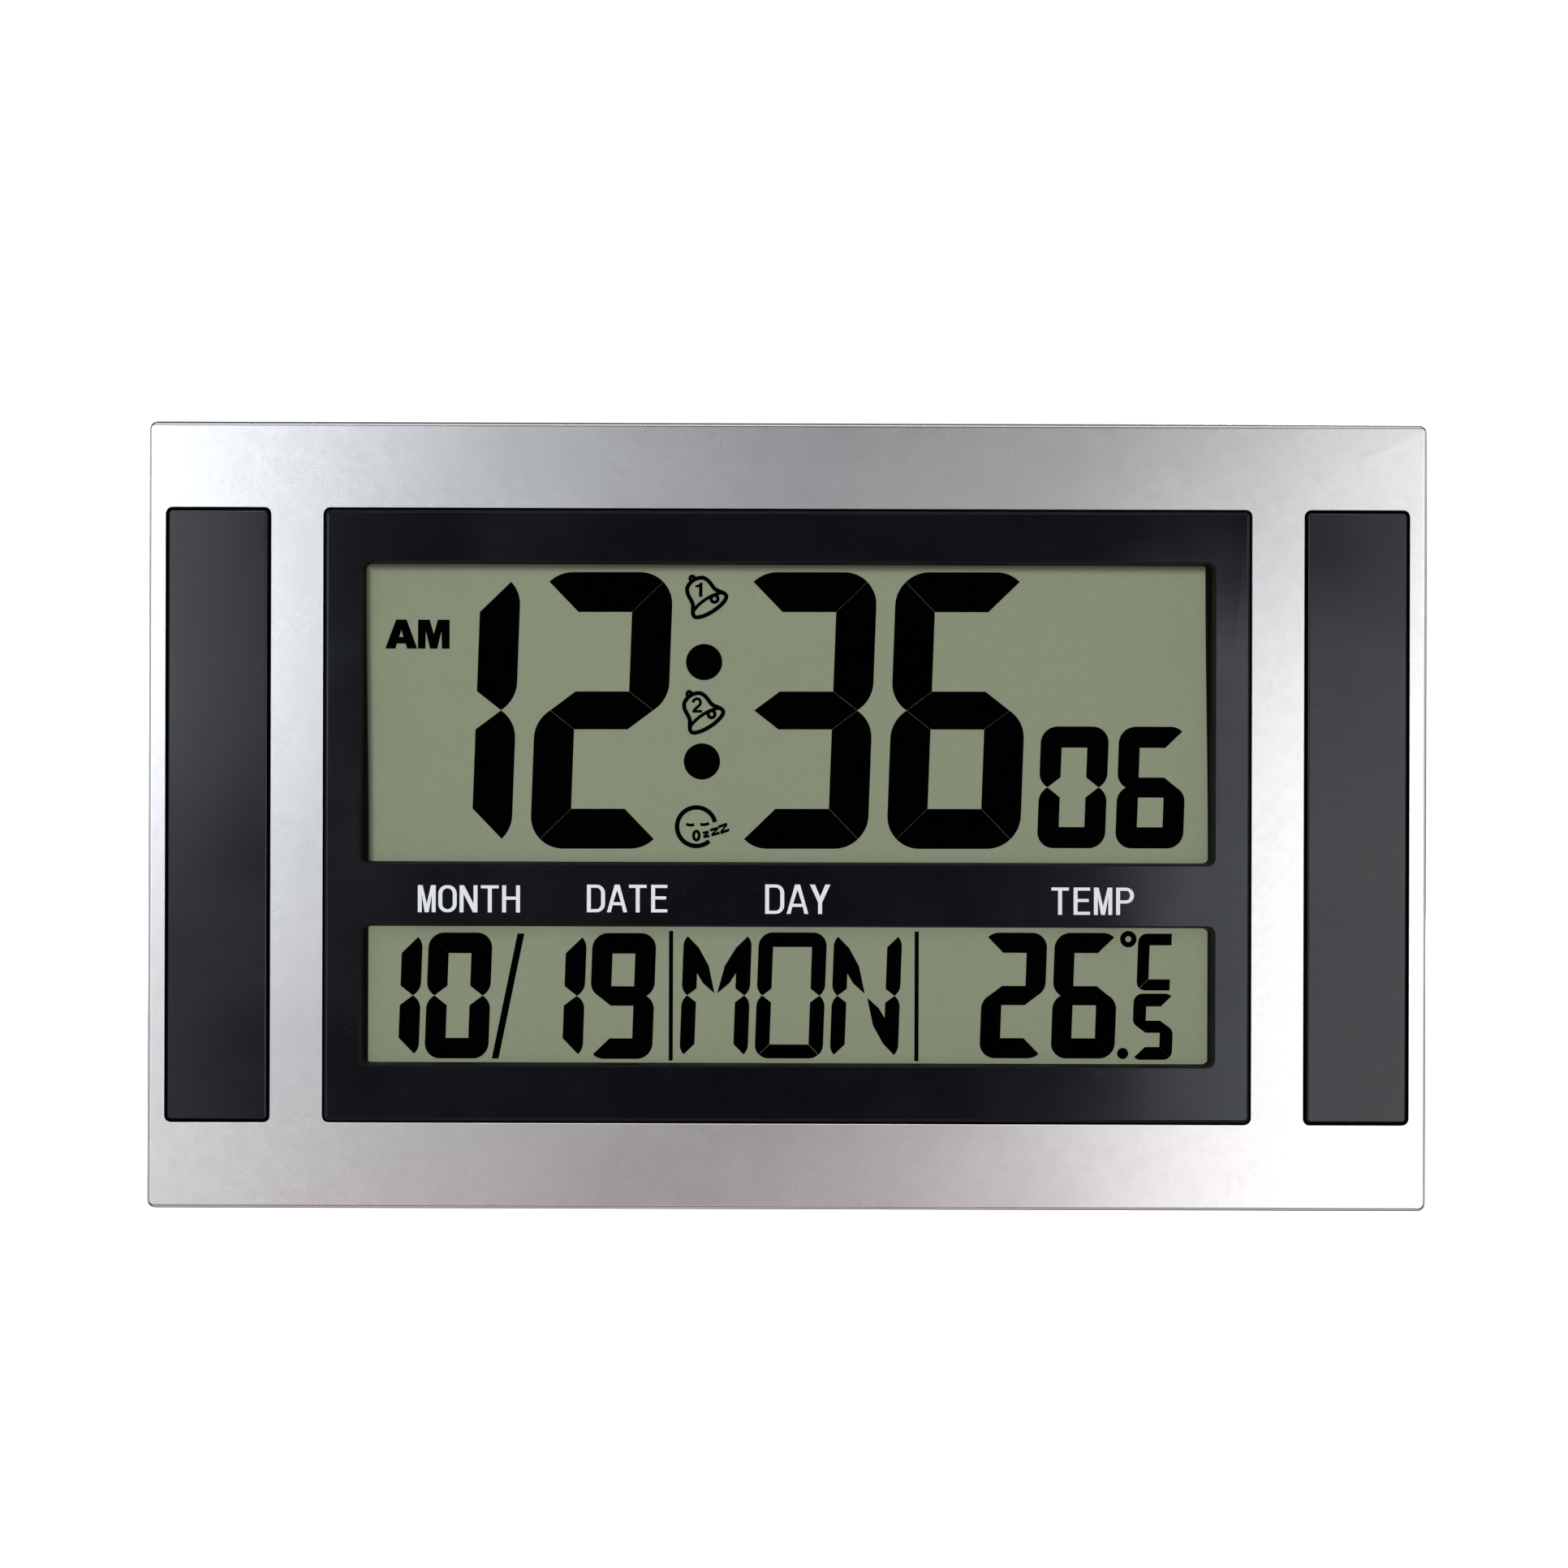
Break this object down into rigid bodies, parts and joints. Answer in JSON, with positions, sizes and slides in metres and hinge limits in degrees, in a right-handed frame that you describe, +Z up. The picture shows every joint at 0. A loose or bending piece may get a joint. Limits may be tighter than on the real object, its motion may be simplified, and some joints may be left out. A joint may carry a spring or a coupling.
{
  "type": "digital clock",
  "caption": "Wide digital clock with a large LCD behind a black frame in a silver case, side inlays, rear buttons, battery door and fold-out stand leg.",
  "frame": {"origin": "on the standing surface, in the middle of the case's width and depth", "axes": "+X to the right as the clock is read, +Y from the front to the back, +Z up"},
  "size_m": [0.265, 0.028, 0.163],
  "materials": {
    "silver_paint": "satin metallic silver paint on moulded plastic",
    "charcoal_satin": "satin dark grey plastic strip",
    "black_gloss": "gloss black plastic",
    "lcd_film": "grey-green polarising film with a soft sheen",
    "lcd_glass": "clear display glass",
    "lcd_reflector": "matt reflecting film",
    "white_plastic": "plain white moulding",
    "zebra_rubber": "layered conducting rubber",
    "circuit_board": "green solder mask",
    "black_epoxy": "cast black epoxy and moulded switch bodies",
    "bright_steel": "plated steel",
    "key_plastic": "fine matt dark grey plastic",
    "buzzer_brass": "thin rolled brass",
    "buzzer_ceramic": "fired ceramic with a silvered face",
    "red_lead": "red insulated lead",
    "black_lead": "black insulated lead",
    "back_plastic": "fine spark-eroded grey plastic",
    "battery_can": "plain printed sleeve, no name"
  },
  "bodies": {
    "case": {"front_bezel": "silver_paint", "left_inlay": "charcoal_satin", "right_inlay": "charcoal_satin", "display_frame": "black_gloss", "lcd_front_polariser": "lcd_film", "lcd_front_glass": "lcd_glass", "lcd_rear_glass": "lcd_glass", "lcd_rear_polariser": "lcd_reflector", "lcd_holder": "white_plastic", "zebra_strip": "zebra_rubber", "main_board": "circuit_board", "chip_blob": "black_epoxy", "crystal": "bright_steel", "thermistor": "black_epoxy", "switch_mode": "black_epoxy", "switch_set": "black_epoxy", "switch_up": "black_epoxy", "switch_down": "black_epoxy", "switch_alarm": "black_epoxy", "buzzer_disc": "buzzer_brass", "buzzer_ceramic": "buzzer_ceramic", "buzzer_lead_red": "red_lead", "buzzer_lead_black": "black_lead", "rear_cover": "back_plastic", "battery_1": "battery_can", "battery_2": "battery_can", "negative_contact": "bright_steel", "positive_contact": "bright_steel", "link_contact": "bright_steel", "battery_lead_red": "red_lead", "battery_lead_black": "black_lead", "cover_screw_1": "bright_steel", "cover_screw_2": "bright_steel", "cover_screw_3": "bright_steel", "cover_screw_4": "bright_steel", "cover_screw_5": "bright_steel", "cover_screw_6": "bright_steel", "holder_screw_1": "bright_steel", "holder_screw_2": "bright_steel", "holder_screw_3": "bright_steel", "holder_screw_4": "bright_steel", "board_screw_1": "bright_steel", "board_screw_2": "bright_steel", "board_screw_3": "bright_steel", "board_screw_4": "bright_steel"},
    "stand": {"stand_leg": "back_plastic"},
    "door": {"battery_door": "back_plastic"},
    "mode_key": {"button_mode": "key_plastic", "plunger_mode": "white_plastic"},
    "set_key": {"button_set": "key_plastic", "plunger_set": "white_plastic"},
    "up_key": {"button_up": "key_plastic", "plunger_up": "white_plastic"},
    "down_key": {"button_down": "key_plastic", "plunger_down": "white_plastic"},
    "alarm_key": {"button_alarm": "key_plastic", "plunger_alarm": "white_plastic"}
  },
  "joints": [
    {"name": "stand_hinge", "type": "hinge", "parent": "case", "child": "stand", "pos_m": [0, 0.0115, 0.074], "axis": [1, 0, 0], "range_deg": [0, 30]},
    {"name": "door_hinge", "type": "hinge", "parent": "case", "child": "door", "pos_m": [0.072, 0.014, 0.0642], "axis": [1, 0, 0], "range_deg": [0, 70]},
    {"name": "mode_press", "type": "slide", "parent": "case", "child": "mode_key", "axis": [0, -1, 0], "range_m": [0, 0.0008], "stiffness_N_per_m": 300},
    {"name": "set_press", "type": "slide", "parent": "case", "child": "set_key", "axis": [0, -1, 0], "range_m": [0, 0.0008], "stiffness_N_per_m": 300},
    {"name": "up_press", "type": "slide", "parent": "case", "child": "up_key", "axis": [0, -1, 0], "range_m": [0, 0.0008], "stiffness_N_per_m": 300},
    {"name": "down_press", "type": "slide", "parent": "case", "child": "down_key", "axis": [0, -1, 0], "range_m": [0, 0.0008], "stiffness_N_per_m": 300},
    {"name": "alarm_press", "type": "slide", "parent": "case", "child": "alarm_key", "axis": [0, -1, 0], "range_m": [0, 0.0008], "stiffness_N_per_m": 300}
  ]
}
